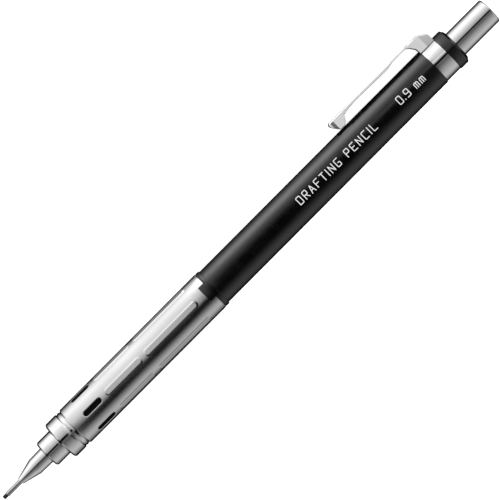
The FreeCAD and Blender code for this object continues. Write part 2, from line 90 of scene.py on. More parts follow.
def around(x, r, turn):
    """The point at station x and radius r, turned from the clip's side about +X by turn radians."""
    return (AXIS * x + r * (math.cos(turn) * CLIP_UP - math.sin(turn) * CLIP_SIDE)) * MM


def upright(x, across, height):
    """The point at station x, so far across the clip and so high above the axis on its side."""
    return (AXIS * x + CLIP_SIDE * across + CLIP_UP * height) * MM


# ---------------------------------------------------------------- materials

class Surface:
    """A node material built around one Principled shader."""

    def __init__(self, name, **sockets):
        self.material = bpy.data.materials.new(name)
        self.material.use_nodes = True
        self.tree = self.material.node_tree
        self.shader = self.tree.nodes["Principled BSDF"]
        for socket, value in sockets.items():
            self.shader.inputs[socket.replace("_", " ")].default_value = value
        self.place = self.add("ShaderNodeTexCoord").outputs["Object"]

    def add(self, kind, **settings):
        node = self.tree.nodes.new(kind)
        for name, value in settings.items():
            setattr(node, name, value)
        return node

    def link(self, start, end):
        self.tree.links.new(start, end)

    def stretched(self, scale):
        """Object coordinates scaled along X, Y and Z."""
        mapping = self.add("ShaderNodeMapping")
        mapping.inputs["Scale"].default_value = scale
        self.link(self.place, mapping.inputs["Vector"])
        return mapping.outputs["Vector"]

    def speckle(self, scale, detail=4.0, stretch=(1, 1, 1)):
        """Noise of so many spots to the metre."""
        texture = self.add("ShaderNodeTexNoise")
        texture.inputs["Scale"].default_value = scale
        texture.inputs["Detail"].default_value = detail
        self.link(self.stretched(stretch), texture.inputs["Vector"])
        return texture.outputs["Fac"]

    def between(self, source, low, high, start=0.3, end=0.7):
        """A number that runs from low to high as the source goes from start to end."""
        node = self.add("ShaderNodeMapRange")
        node.inputs["From Min"].default_value = start
        node.inputs["From Max"].default_value = end
        node.inputs["To Min"].default_value = low
        node.inputs["To Max"].default_value = high
        self.link(source, node.inputs["Value"])
        return node.outputs["Result"]

    def roughness(self, source, low, high):
        self.link(self.between(source, low, high), self.shader.inputs["Roughness"])

    def colour(self, source, dark, light, start=0.3, end=0.7):
        ramp = self.add("ShaderNodeValToRGB")
        ramp.color_ramp.elements[0].position = start
        ramp.color_ramp.elements[1].position = end
        ramp.color_ramp.elements[0].color = (*dark, 1)
        ramp.color_ramp.elements[1].color = (*light, 1)
        self.link(source, ramp.inputs["Fac"])
        self.link(ramp.outputs["Color"], self.shader.inputs["Base Color"])

    def bump(self, source, depth, strength=1.0):
        """Raise the surface by depth metres."""
        node = self.add("ShaderNodeBump")
        node.inputs["Distance"].default_value = depth
        node.inputs["Strength"].default_value = strength
        self.link(source, node.inputs["Height"])
        self.link(node.outputs["Normal"], self.shader.inputs["Normal"])


def plated_metal():
    """Bright plating with faint marks from handling."""
    surface = Surface("plated_metal", Metallic=1.0, IOR=2.5)
    marks = surface.speckle(900, 6, (0.3, 1, 1))
    surface.roughness(marks, 0.05, 0.12)
    surface.colour(surface.speckle(220), (0.80, 0.80, 0.81), (0.87, 0.87, 0.875))
    surface.bump(surface.speckle(5200, 2, (0.15, 1, 1)), 0.0000012)
    return surface.material


def satin_metal():
    """Bead-blasted aluminium, a little worn."""
    surface = Surface("satin_aluminium", Metallic=1.0)
    grain = surface.speckle(9000, 3)
    surface.roughness(surface.speckle(500, 5, (0.25, 1, 1)), 0.19, 0.25)
    surface.colour(surface.speckle(300, 4, (0.3, 1, 1)), (0.70, 0.70, 0.705), (0.78, 0.78, 0.785))
    surface.bump(grain, 0.000004)
    return surface.material


def bare_steel():
    surface = Surface("bare_steel", Metallic=1.0)
    surface.roughness(surface.speckle(2500, 4, (0.1, 1, 1)), 0.18, 0.30)
    surface.colour(surface.speckle(400), (0.52, 0.52, 0.53), (0.62, 0.62, 0.63))
    surface.bump(surface.speckle(7000, 2, (0.1, 1, 1)), 0.000002)
    return surface.material


def machined_brass():
    surface = Surface("machined_brass", Metallic=1.0)
    surface.roughness(surface.speckle(1500, 4, (4, 1, 1)), 0.16, 0.30)
    surface.colour(surface.speckle(350), (0.66, 0.47, 0.20), (0.76, 0.58, 0.28))
    surface.bump(surface.speckle(3000, 2, (5, 1, 1)), 0.000003)
    return surface.material


def black_resin():
    """Moulded black resin, semi-gloss, with a very fine orange peel."""
    surface = Surface("black_resin", IOR=1.5, Specular_IOR_Level=0.75)
    surface.roughness(surface.speckle(600, 5), 0.20, 0.30)
    surface.colour(surface.speckle(250), (0.0012, 0.0012, 0.0014), (0.0024, 0.0024, 0.0026))
    surface.bump(surface.speckle(1500, 3), 0.0000015)
    return surface.material


def matt_resin():
    """The same resin where the mould leaves it matt, inside the grip."""
    surface = Surface("matt_resin", Specular_IOR_Level=0.08)
    surface.roughness(surface.speckle(900, 4), 0.6, 0.8)
    surface.colour(surface.speckle(250), (0.0012, 0.0012, 0.0014), (0.0024, 0.0024, 0.0026))
    surface.bump(surface.speckle(2500, 3), 0.000004)
    return surface.material


def white_print():
    """Pad-printed white ink, a little uneven."""
    surface = Surface("white_print")
    surface.roughness(surface.speckle(3000, 4), 0.45, 0.6)
    surface.colour(surface.speckle(4000, 4), (0.72, 0.72, 0.72), (0.86, 0.86, 0.86), 0.25, 0.5)
    surface.bump(surface.speckle(9000, 2), 0.000003)
    return surface.material


def graphite():
    surface = Surface("graphite", Metallic=0.35)
    surface.roughness(surface.speckle(4000, 4, (0.3, 1, 1)), 0.35, 0.5)
    surface.colour(surface.speckle(3000), (0.012, 0.012, 0.014), (0.035, 0.035, 0.038))
    surface.bump(surface.speckle(9000, 3), 0.000005)
    return surface.material


def moulded_plastic():
    surface = Surface("moulded_plastic")
    surface.roughness(surface.speckle(700, 4), 0.4, 0.55)
    surface.colour(surface.speckle(300), (0.66, 0.66, 0.64), (0.74, 0.74, 0.72))
    surface.bump(surface.speckle(2500, 3), 0.000004)
    return surface.material


def soft_rubber(name, dark, light):
    surface = Surface(name)
    surface.roughness(surface.speckle(900, 4), 0.7, 0.9)
    surface.colour(surface.speckle(900, 6), dark, light)
    surface.bump(surface.speckle(6000, 4), 0.00001)
    return surface.material


# ---------------------------------------------------------------- shapes

def shade(mesh, limit=32.0):
    """Smooth faces, with a crease wherever two faces meet at more than limit degrees."""
    work = bmesh.new()
    work.from_mesh(mesh)
    bmesh.ops.recalc_face_normals(work, faces=work.faces)
    for face in work.faces:
        face.smooth = True
    for edge in work.edges:
        edge.smooth = len(edge.link_faces) == 2 and edge.calc_face_angle() < math.radians(limit)
    work.to_mesh(mesh)
    work.free()


def add_piece(name, mesh, material, body, *nodes):
    """Put a finished mesh in the scene, on its body, in place of the nodes named."""
    shade(mesh)
    mesh.materials.append(material)
    piece = bpy.data.objects.new(name, mesh)
    bpy.context.collection.objects.link(piece)
    even = piece.modifiers.new("even_normals", "WEIGHTED_NORMAL")
    even.keep_sharp = True
    if body:
        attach(piece, body)
    if nodes:
        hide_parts(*nodes)
    return piece


def soften(corners, steps=6):
    """Round an outline: each corner is (x, r) or (x, r, fillet), and the outline is closed."""
    points = []
    count = len(corners)
    for index, corner in enumerate(corners):
        here = Vector(corner[:2])
        if len(corner) < 3 or not corner[2]:
            points.append(here)
            continue
        before = Vector(corners[index - 1][:2]) - here
        after = Vector(corners[(index + 1) % count][:2]) - here
        turn = before.angle(after)
        reach = min(corner[2] / math.tan(turn / 2), before.length * 0.49, after.length * 0.49)
        start = here + before.normalized() * reach
        end = here + after.normalized() * reach
        fillet = reach * math.tan(turn / 2)
        middle = (before.normalized() + after.normalized()).normalized()
        centre = here + middle * (fillet / math.sin(turn / 2))
        first = start - centre
        sweep = first.angle_signed(end - centre)
        for step in range(steps + 1):
            points.append(centre + Matrix.Rotation(-sweep * step / steps, 2) @ first)
    return points


def even_turns(count):
    """Equal steps round the pencil."""
    return [2 * math.pi * step / count for step in range(count)]


def lathe(outline, turns, shape=None):
    """A mesh turned about the pencil's axis from a closed outline of (x, r) points.

    Where shape is given, it moves each point for the turn that it is at.
    """
    mesh = bpy.data.meshes.new("turned")
    work = bmesh.new()
    rings = []
    for point in outline:
        if abs(point[1]) < 1e-6:
            rings.append([work.verts.new(around(point[0], 0, 0))])
            continue
        ring = []
        for turn in turns:
            x, r = shape(point[0], point[1], turn) if shape else (point[0], point[1])
            ring.append(work.verts.new(around(x, r, turn)))
        rings.append(ring)
    for ring, after in zip(rings, rings[1:] + rings[:1]):
        for step in range(len(turns)):
            following = (step + 1) % len(turns)
            corners = [ring[step % len(ring)], ring[following % len(ring)],
                       after[following % len(after)], after[step % len(after)]]
            unique = list(dict.fromkeys(corners))
            if len(unique) > 2:
                work.faces.new(unique)
    work.to_mesh(mesh)
    work.free()
    return mesh


def joined(*meshes):
    """One mesh holding all of these."""
    whole = bpy.data.meshes.new("joined")
    work = bmesh.new()
    for mesh in meshes:
        work.from_mesh(mesh)
    work.to_mesh(whole)
    work.free()
    return whole


def skin(work, rings):
    """Faces from each closed ring of vertices to the next, and one over each end."""
    for ring, after in zip(rings, rings[1:]):
        for index in range(len(ring)):
            following = (index + 1) % len(ring)
            work.faces.new([ring[index], ring[following], after[following], after[index]])
    work.faces.new(rings[0])
    work.faces.new(rings[-1])


def prism(outline, place, low, high, parts=None):
    """A solid with a flat outline, each corner put in space by place(corner, low or high).

    It is added to the mesh given as parts, or to a new one.
    """
    mesh = parts or bpy.data.meshes.new("prism")
    work = bmesh.new()
    work.from_mesh(mesh)
    bottom = [work.verts.new(place(corner, low)) for corner in outline]
    top = [work.verts.new(place(corner, high)) for corner in outline]
    work.faces.new(bottom)
    work.faces.new(top)
    for index in range(len(outline)):
        following = (index + 1) % len(outline)
        work.faces.new([bottom[index], bottom[following], top[following], top[index]])
    bmesh.ops.recalc_face_normals(work, faces=work.faces)
    work.to_mesh(mesh)
    work.free()
    return mesh


def carved(mesh, cutter):
    """The mesh with the cutter taken away."""
    for part in (mesh, cutter):
        work = bmesh.new()
        work.from_mesh(part)
        bmesh.ops.recalc_face_normals(work, faces=work.faces)
        work.to_mesh(part)
        work.free()
    body = bpy.data.objects.new("carved", mesh)
    tool = bpy.data.objects.new("cutter", cutter)
    bpy.context.collection.objects.link(body)
    bpy.context.collection.objects.link(tool)
    cut = body.modifiers.new("cut", "BOOLEAN")
    cut.operation = "DIFFERENCE"
    cut.solver = "EXACT"
    cut.object = tool
    result = bpy.data.meshes.new_from_object(body.evaluated_get(bpy.context.evaluated_depsgraph_get()))
    bpy.data.objects.remove(body)
    bpy.data.objects.remove(tool)
    return result


def swept_helix(section, front, rises, radius_mm, steps=40):
    """A closed section of (x, r) offsets carried round the axis, rising by each turn's pitch."""
    mesh = bpy.data.meshes.new("helix")
    work = bmesh.new()
    rings = []
    station = front
    for pitch in rises:
        for step in range(steps):
            turn = 2 * math.pi * step / steps
            x = station + pitch * step / steps
            rings.append([work.verts.new(around(x + a, radius_mm + b, turn)) for a, b in section])
        station += pitch
    rings.append([work.verts.new(around(station + a, radius_mm + b, 0)) for a, b in section])
    skin(work, rings)
    work.to_mesh(mesh)
    work.free()
    return mesh


def turned_piece(name, outline, material, body, *nodes, count=128):
    """A piece turned from an outline with its corners rounded."""
    return add_piece(name, lathe(soften(outline), even_turns(count)), material, body, *nodes)


# ---------------------------------------------------------------- nose and lead

def make_nose(metal):
    """Cone, slim cylinder, step and collar, with the threaded shank behind."""
    front, back = span("nose_cone")
    collar_back = span("nose_ring")[0] - 0.03
    outline = [
        (front, 0.58), (front, 0.78, 0.06), (front + 4.2, 1.88, 0.35), (front + 7.65, 1.96, 0.02),
        (front + 7.65, 2.85, 0.02), (front + 8.0, 3.2, 0.1), (front + 11.4, 3.2, 0.03),
        (front + 11.4, 3.0, 0.02), (front + 11.56, 3.0, 0.02), (front + 11.56, 4.25, 0.03),
        (front + 11.91, 4.6, 0.12), (collar_back - 0.18, 4.6, 0.06), (collar_back, 4.42, 0.03),
        (collar_back, 3.01, 0.03), (back - 0.05, 3.01, 0.03), (back, 2.96), (back, 2.75),
        (front + 11.5, 2.75), (front + 11.5, 2.2), (front + 8.3, 2.2), (front + 8.3, 1.3),
        (front + 4.3, 1.3), (front + 4.3, 0.58),
    ]
    ridge = [(-0.22, -0.01), (-0.04, 0.155), (0.04, 0.155), (0.22, -0.01)]
    thread = swept_helix(ridge, back - 2.77, [0.5] * 5, 3.01, 72)
    body = lathe(soften(outline), even_turns(160))
    add_piece("nose", joined(body, thread), metal, "nose", "nose_cone")


def make_nose_ring(metal):
    front, back = span("nose_ring")
    turned_piece("nose_ring_turned", [
        (front, 3.2), (front, 4.35, 0.03), (front + 0.2, 4.35, 0.03), (front + 0.23, 4.475, 0.05),
        (back - 0.23, 4.475, 0.05), (back - 0.2, 4.35, 0.03), (back, 4.35, 0.03), (back, 3.2),
    ], metal, "nose_carrier", "nose_ring", count=160)


def make_lead_parts(steel, lead, rubber):
    """The lead, the sleeve that guides it and the rubber that holds it back."""
    back = span("lead_sleeve")[1]
    turned_piece("lead_sleeve_turned", [
        (0, 0.485), (0, 0.575, 0.035), (back, 0.575), (back, 0.485),
    ], steel, "nose", "lead_sleeve", count=64)
    front, back = span("lead")
    turned_piece("lead_turned", [
        (front, 0), (front, 0.3, 0.1), (front + 0.1, 0.45, 0.1), (back, 0.45, 0.03), (back, 0),
    ], lead, "lead", "lead", count=48)
    front, back = span("lead_retainer")
    turned_piece("lead_retainer_turned", [
        (front, 0.48), (front, 1.3, 0.08), (back, 1.3, 0.12), (back, 0.75, 0.1),
        (front + 1.2, 0.48, 0.1),
    ], rubber, "nose", "lead_retainer", count=64)


# ---------------------------------------------------------------- grip and barrel

# Six rows round the grip. Each has a slot and two ribs, which are round-ended strips given as
# start (behind the grip's front), length and width. The ribs have flat tops, RIB_FLAT from the axis.
ROW_TURNS = [math.radians(85 + 60 * row) for row in range(6)]
SLOT = (3.35, 4.9, 1.25)
RIBS = [(9.5, 10.5, 1.8), (20.9, 15.3, 1.8)]
RIB_FLAT = 4.73
# The barrel's flange, and the two lugs on it.
LUG_LENGTH = 1.5
HALF_LUG = 1.85
FLANGE_RADIUS = 4.6


def row_place(row):
    """A prism's place function for a row: corners along and across it, and the height outwards."""
    out = math.cos(row) * CLIP_UP - math.sin(row) * CLIP_SIDE
    side = out.cross(AXIS)

    def place(corner, height):
        return (AXIS * corner[0] + side * corner[1] + out * height) * MM

    return place


def ease(value, start, end):
    """0 before start, 1 after end, and smooth between."""
    share = min(max((value - start) / (end - start), 0), 1)
    return share * share * (3 - 2 * share)


def outside_strip(x, across, strip):
    """How far a point lies outside a round-ended strip, which is given as start, length, width."""
    start, length, width = strip
    nearest = min(max(x, start + width / 2), start + length - width / 2)
    return math.hypot(x - nearest, across) - width / 2


def strip_outline(strip, steps=12):
    """The round-ended strip's corners."""
    start, length, width = strip
    half = width / 2
    corners = []
    for centre, first in ((start + length - half, -90), (start + half, 90)):
        for step in range(steps + 1):
            angle = math.radians(first + 180 * step / steps)
            corners.append((centre + half * math.cos(angle), half * math.sin(angle)))
    return corners


def spaced(breaks):
    """Stations from breaks given as (start, spacing after it), the last one ending the list."""
    stations = []
    for (start, size), (end, _) in zip(breaks, breaks[1:]):
        count = max(1, round((end - start) / size))
        stations += [start + (end - start) * step / count for step in range(count)]
    return stations + [breaks[-1][0]]


def on_row(turn):
    """Turn from the middle of the nearest row of slots."""
    return min((math.remainder(turn - row, 2 * math.pi) for row in ROW_TURNS), key=abs)


def make_grip(satin):
    """Thin metal tube with raised soft ribs and open slots, notched at the back."""
    front, back = span("grip_sleeve")
    outer, bore = 4.65, 4.25

    def relief(x, r, turn):
        if r < outer - 0.001:
            return x, r
        across = on_row(turn) * outer
        along = x - front
        height = max(1 - ease(outside_strip(along, across, rib), -0.45, 0.04) for rib in RIBS)
        lip = 1 - ease(outside_strip(along, across, SLOT), 0.0, 0.14)
        flat = RIB_FLAT / math.cos(across / outer) - outer
        return x, r + flat * height - 0.045 * lip

    rims = soften([(back, bore), (front, bore), (front, outer - 0.35, 0.05), (front + 0.35, outer)])
    stations = spaced([
        (front + 0.35, 0.5), (front + 3.1, 0.06), (front + 4.1, 0.5), (front + 7.5, 0.06),
        (front + 8.5, 0.4), (front + 9.4, 0.07), (front + 10.5, 0.8), (front + 19.0, 0.07),
        (front + 21.9, 0.8), (front + 35.2, 0.07), (front + 36.3, 0.6), (back - 0.18, 0.1),
    ])
    outline = rims[:-1] + [Vector((x, outer)) for x in stations]
    outline += [Vector((back - 0.05, outer - 0.05)), Vector((back, outer - 0.18))]
    turns = []
    for row in sorted(turn % (2 * math.pi) for turn in ROW_TURNS):
        for across in spaced([(-2.434, 0.25), (-0.95, 0.06), (0.95, 0.25), (2.434, 0.1)])[:-1]:
            turns.append(row + across / outer)
    sleeve = lathe(outline, turns, relief)
    cutter = bpy.data.meshes.new("cutter")
    outline = [(front + x, across) for x, across in strip_outline(SLOT)]
    for row in ROW_TURNS:
        prism(outline, row_place(row), 3.6, 5.4, cutter)
    notch_place = row_place(ROW_TURNS[0])
    notch = soften([
        (back - LUG_LENGTH, -1.9, 0.12), (back + 1, -1.9), (back + 1, 1.9),
        (back - LUG_LENGTH, 1.9, 0.12),
    ], 5)
    prism(notch, notch_place, 3.0, 6.0, cutter)
    prism(notch, notch_place, -6.0, -3.0, cutter)
    add_piece("grip", carved(sleeve, cutter), satin, "barrel", "grip_sleeve")


def make_barrel(resin, matt):
    """Moulded barrel; the flange reaches forward as two lugs that fill the grip's notches."""
    front, back = span("barrel")
    flange = span("grip_sleeve")[1] + 0.05
    middles = [ROW_TURNS[0] + end for end in (0, math.pi)]
    edges = [middle + side * HALF_LUG / FLANGE_RADIUS for middle in middles for side in (-1, 1)]

    def lugs(x, r, turn):
        near = min(abs(math.remainder(turn - middle, 2 * math.pi)) for middle in middles)
        if near * FLANGE_RADIUS < HALF_LUG + 0.001 and flange - 0.02 < x < flange + 0.3:
            return x - LUG_LENGTH, r
        return x, r

    outline = soften([
        (front, 3.73), (front, 4.22, 0.05), (flange, 4.22), (flange, FLANGE_RADIUS, 0.06),
        (flange + 0.95, FLANGE_RADIUS, 0.1), (flange + 0.95, 4.35, 0.06), (back, 4.35, 0.12),
        (back, 3.53), (back - 7.05, 3.53), (back - 7.05, 3.05), (front + 8.7, 3.05),
        (front + 8.7, 3.73),
    ])
    turns = even_turns(192)
    for edge in edges:
        turns += [edge - 0.0004, edge + 0.0004]
    turns = sorted(turn % (2 * math.pi) for turn in turns)
    barrel = add_piece("barrel_moulding", lathe(outline, turns, lugs), resin, "barrel", "barrel")
    barrel.data.materials.append(matt)
    matt_back = flange - 3
    for face in barrel.data.polygons:
        if face.center.x < matt_back * MM:
            face.material_index = 1


# ---------------------------------------------------------------- end collar, button, eraser

def make_end_collar(resin):
    front, back = span("end_collar")
    seat = span("clip_band")[1] + 0.05
    shoulder = span("barrel")[1]
    turned_piece("end_collar_moulding", [
        (front, 3.08), (front, 3.5, 0.05), (shoulder, 3.5), (shoulder, 3.82), (seat, 3.82),
        (seat, 4.38, 0.06), (back - 0.55, 4.38, 0.15), (back, 3.6, 0.1), (back, 3.08, 0.06),
    ], resin, "barrel", "end_collar", count=160)


def make_button(metal):
    front, back = span("push_button")
    turned_piece("push_button_drawn", [
        (front, 2.5), (front, 3.0, 0.06), (back - 0.03, 3.0, 0.42), (back, 2.0, 3.0), (back, 0),
        (back - 0.8, 0), (back - 0.8, 2.5, 0.1),
    ], metal, "cap", "push_button", count=128)


def make_eraser(rubber, steel):
    front, back = span("eraser")
    turned_piece("eraser_rubber_plug", [
        (front, 0), (front, 2.02, 0.2), (back, 2.02, 0.25), (back, 0),
    ], rubber, "feed", "eraser", count=96)
    front, back = span("eraser_ferrule")
    turned_piece("eraser_ferrule_crimped", [
        (front, 2.05), (front, 2.45, 0.08), (front + 0.42, 2.42, 0.05), (front + 0.55, 2.36, 0.05),
        (front + 0.68, 2.42, 0.05), (back, 2.45, 0.08), (back, 2.05),
    ], steel, "feed", "eraser_ferrule", count=96)


def make_spring(steel):
    """Coil spring with a close coil at each end."""
    front, back = span("chuck_spring")
    wire_radius, coil_radius = 0.175, 2.095
    coils = 9
    end_pitch = 0.36
    wire = [(wire_radius * math.cos(a), wire_radius * math.sin(a)) for a in even_turns(14)]
    pitch = (back - front - 2 * wire_radius - 2 * end_pitch) / coils
    rises = [end_pitch] + [pitch] * coils + [end_pitch]
    mesh = swept_helix(wire, front + wire_radius, rises, coil_radius, 40)
    spring = add_piece("chuck_spring_coiled", mesh, steel, "barrel", "chuck_spring")
    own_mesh(spring)


# ---------------------------------------------------------------- clip

CLIP_SHEET = 0.4
CLIP_FLARE = math.tan(math.radians(7))


def height_at(line, x):
    """Height of an open line of (x, height) points at station x."""
    for before, after in zip(line, line[1:]):
        if before[0] <= x <= after[0]:
            share = (x - before[0]) / max(after[0] - before[0], 1e-9)
            return before[1] + (after[1] - before[1]) * share
    return line[0][1] if x < line[0][0] else line[-1][1]


def clip_section(high, low, wide, inside):
    """Ring of (across, height) round the folded sheet, its side walls flared a little."""
    rounding = min(0.4, 0.4 * (high - low))
    edge = min(0.12, 0.12 * (high - low))
    wall = high - rounding - low - edge
    foot = wide + CLIP_FLARE * wall
    inside = max(inside, low + edge)
    half = [(0, high)]
    for step in range(8):
        turn = math.radians(12 * step)
        across = wide - rounding + rounding * math.sin(turn)
        half.append((across, high - rounding + rounding * math.cos(turn)))
    half += [
        (wide, high - rounding),
        (wide + 0.08 * CLIP_FLARE * wall, high - rounding - 0.08 * wall),
        (foot - 0.06 * CLIP_FLARE * wall, low + edge + 0.06 * wall), (foot, low + edge),
        (foot - 0.04, low + 0.3 * edge), (foot - 0.12, low), (foot - CLIP_SHEET + 0.1, low),
        (foot - CLIP_SHEET, low + 0.5 * edge),
        (wide - CLIP_SHEET + CLIP_FLARE * (high - inside), inside), (0, inside),
    ]
    return half + [(-across, height) for across, height in reversed(half[1:-1])]


def make_clip(metal):
    """Folded sheet: a band, a hollow root, and an arm whose V-shaped foot presses on the barrel."""
    tip = span("clip_arm")[0]
    arm_back = span("clip_arm")[1]
    band_front, band_back = span("barrel")[1] + 0.03, span("clip_band")[1]
    top = soften([
        (tip, 6.72), (tip + 0.3, 7.1, 0.3), (band_back - 1.9, 7.1, 0.5), (band_back, 5.8),
    ])
    bottom = soften([
        (tip, 6.22), (tip + 1.35, 4.41, 0.22), (tip + 2.55, 4.41, 0.25), (tip + 3.35, 5.1, 0.3),
        (tip + 3.9, 6.08, 0.25), (tip + 5.0, 6.3, 0.5), (tip + 7.5, 6.5, 2.0),
        (tip + 11.6, 6.43, 3.0), (tip + 16.8, 6.3, 1.0), (tip + 18.75, 6.695, 0.8),
        (arm_back - 0.35, 6.695, 0.3), (band_front - 0.85, 6.1, 0.8), (band_front - 0.1, 5.0, 0.5),
        (band_front, 3.75), (band_back, 3.75),
    ])
    under = [
        (tip, 6.222), (tip + 1.35, 4.412), (tip + 2.55, 4.412), (tip + 3.35, 5.102),
        (tip + 3.9, 6.09), (tip + 4.05, 6.7), (band_back - 1.9, 6.7), (band_back - 0.4, 5.72),
        (band_back - 0.39, 3.76), (band_back, 3.76),
    ]
    half_width = soften([
        (tip, 1.15), (tip + 0.12, 1.4, 0.3), (tip + 0.6, 1.72, 0.6), (tip + 1.3, 1.8, 1.0),
        (band_back, 1.8),
    ])
    breaks = [point[0] for line in (top, bottom, under, half_width) for point in line]
    breaks += [tip + step * (band_back - tip) / 90 for step in range(91)]
    stations = []
    for x in sorted(breaks):
        if not stations or x - stations[-1] > 0.004:
            stations.append(x)
    mesh = bpy.data.meshes.new("clip")
    work = bmesh.new()
    rings = []
    for x in stations:
        high, wide = height_at(top, x), height_at(half_width, x)
        low = min(height_at(bottom, x), high - CLIP_SHEET)
        ring = clip_section(high, low, wide, height_at(under, x))
        rings.append([work.verts.new(upright(x, across, height)) for across, height in ring])
    skin(work, rings)
    work.to_mesh(mesh)
    work.free()
    trough = soften([
        (tip + 0.62, 7.6), (tip + 0.62, 7.12, 0.2), (tip + 1.62, 4.82, 0.2), (tip + 2.4, 4.82, 0.25),
        (tip + 3.25, 6.9, 0.2), (tip + 3.4, 7.6),
    ])

    def trough_place(corner, across):
        return upright(corner[0], across, corner[1])

    arm = carved(mesh, prism(trough, trough_place, -1.3, 1.3))
    band = lathe(soften([
        (band_front, 3.85), (band_front, 4.2, 0.08), (band_back, 4.2, 0.08), (band_back, 3.85),
    ]), even_turns(160))
    clip = add_piece("clip_folded", joined(arm, band), metal, None, "clip_arm", "clip_band")
    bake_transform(clip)


# ---------------------------------------------------------------- prints

# Strokes of each plain letter on a field one wide and one and a half high.
STROKES = {
    "A": [[(0, 0), (0.5, 1.5), (1, 0)], [(0.2, 0.5), (0.8, 0.5)]],
    "C": [[(1, 0), (0, 0), (0, 1.5), (1, 1.5)]],
    "D": [[(0, 0), (0, 1.5), (1, 1.5), (1, 0), (0, 0)]],
    "E": [[(1, 0), (0, 0), (0, 1.5), (1, 1.5)], [(0, 0.75), (0.8, 0.75)]],
    "F": [[(0, 0), (0, 1.5), (1, 1.5)], [(0, 0.75), (0.8, 0.75)]],
    "G": [[(1, 1.5), (0, 1.5), (0, 0), (1, 0), (1, 0.7), (0.55, 0.7)]],
    "I": [[(0.0, 0), (0.0, 1.5)]],
    "L": [[(0, 1.5), (0, 0), (0.95, 0)]],
    "N": [[(0, 0), (0, 1.5), (1, 0), (1, 1.5)]],
    "P": [[(0, 0), (0, 1.5), (1, 1.5), (1, 0.7), (0, 0.7)]],
    "R": [[(0, 0), (0, 1.5), (1, 1.5), (1, 0.7), (0, 0.7)], [(0.45, 0.7), (1, 0)]],
    "T": [[(0.5, 0), (0.5, 1.5)], [(0, 1.5), (1, 1.5)]],
    "m": [[(0, 0), (0, 1.0), (0.5, 1.0), (0.5, 0)], [(0.5, 1.0), (1, 1.0), (1, 0)]],
    "0": [[(0, 0.75), (0, 1.5), (1, 1.5), (1, 0), (0, 0), (0, 0.75)]],
    "9": [[(1, 0.7), (0, 0.7), (0, 1.5), (1, 1.5), (1, 0), (0.05, 0)]],
    ".": [[(0, 0), (0, 0.1)]],
}
# Widths of the symbols that are not one wide.
NARROW = {"I": 0.0, ".": 0.0, " ": 0.45}
# The ink's ribbons run from just inside the barrel's surface to just outside it.
BARREL_RADIUS = 4.35
INK_UNDER = 4.34
INK_TOP = 4.362


def stroke_points(stroke, rounding):
    """The stroke's line with its square corners rounded."""
    corners = [tuple(stroke[0])]
    for before, here, after in zip(stroke, stroke[1:], stroke[2:]):
        turn = (Vector(before) - Vector(here)).angle(Vector(after) - Vector(here))
        corners.append((*here, rounding if turn > 1.2 else 0.02))
    corners.append(tuple(stroke[-1]))
    return soften(corners, 4)


def add_words(work, words, start, middle, letter, height, gap, weight):
    """Letters along the barrel from station start, their middle at a turn towards the camera.

    Each stroke stands a little higher than the last, so that no two share a face.
    """
    x = start
    lift = 0.0
    across_scale = height / 1.5
    for symbol in words:
        for stroke in STROKES.get(symbol, []):
            scaled = [(a * letter, b * across_scale) for a, b in stroke]
            line = stroke_points(scaled, 0.16 * across_scale)
            lift += 0.0004
            add_stroke(work, line, x, middle, height, weight, lift)
        x += letter * NARROW.get(symbol, 1.0) + gap


def add_stroke(work, line, start, middle, height, weight, lift):
    """One raised stroke of ink on the barrel's curve."""
    rings = []
    dense = [line[0]]
    for before, after in zip(line, line[1:]):
        parts = max(1, round((after - before).length / 0.3))
        dense += [before + (after - before) * step / parts for step in range(1, parts + 1)]
    for index, point in enumerate(dense):
        ahead = dense[min(index + 1, len(dense) - 1)]
        behind = dense[max(index - 1, 0)]
        heading = (ahead - behind).normalized()
        if index == 0:
            point = point - heading * weight / 2
        if index == len(dense) - 1:
            point = point + heading * weight / 2
        side = Vector((-heading[1], heading[0])) * weight / 2
        ring = []
        top = INK_TOP + lift
        for edge, r in ((side, INK_UNDER), (side, top), (-side, top), (-side, INK_UNDER)):
            spot = point + edge
            turn = middle - (spot[1] - height / 2) / BARREL_RADIUS
            ring.append(work.verts.new(around(start + spot[0], r, turn)))
        rings.append(ring)
    skin(work, rings)


def make_prints(ink):
    """One plain caption: what the object is, and its lead's size."""
    caption = VIEW_TURN - math.radians(1)
    letter, height, weight = 0.95, 1.7, 0.19
    work = bmesh.new()
    add_words(work, "DRAFTING PENCIL", 85.0, caption, letter, height, 0.75, weight)
    add_words(work, "0.9 mm", 114.0, caption, letter, height, 0.6, weight)
    mesh = bpy.data.meshes.new("prints")
    work.to_mesh(mesh)
    work.free()
    add_piece("barrel_prints", mesh, ink, "barrel")


def main():
    metal = plated_metal()
    satin = satin_metal()
    steel = bare_steel()
    brass = machined_brass()
    resin = black_resin()
    ink = white_print()
    lead = graphite()
    plastic = moulded_plastic()
    white_rubber = soft_rubber("eraser_rubber", (0.78, 0.78, 0.76), (0.85, 0.85, 0.83))
    black_rubber = soft_rubber("retainer_rubber", (0.02, 0.02, 0.02), (0.035, 0.035, 0.035))
    make_nose(metal)
    make_nose_ring(metal)
    make_lead_parts(steel, lead, black_rubber)
    make_grip(satin)
    make_barrel(resin, matt_resin())
    make_end_collar(resin)
    make_button(metal)
    make_eraser(white_rubber, steel)
    make_spring(steel)
    make_clip(metal)
    make_prints(ink)
    looks = {
        "black_resin": resin, "satin_aluminium": satin, "plated_metal": metal, "bare_steel": steel,
        "brass": brass, "inner_plastic": plastic, "eraser_rubber": white_rubber,
        "retainer_rubber": black_rubber, "graphite": lead,
    }
    for node, slot in SLOTS.items():
        for holder in frame["nodes"][node].material_slots:
            holder.material = looks[slot]
    make_camera()
    make_studio()


# ---------------------------------------------------------------- camera and studio

# The camera looks square on to the pencil's side, a quarter turn from the clip, and is rolled so
# that the pencil leans up to the right.
VIEW_TURN = math.radians(88.5)
LEAN = math.radians(45.12)
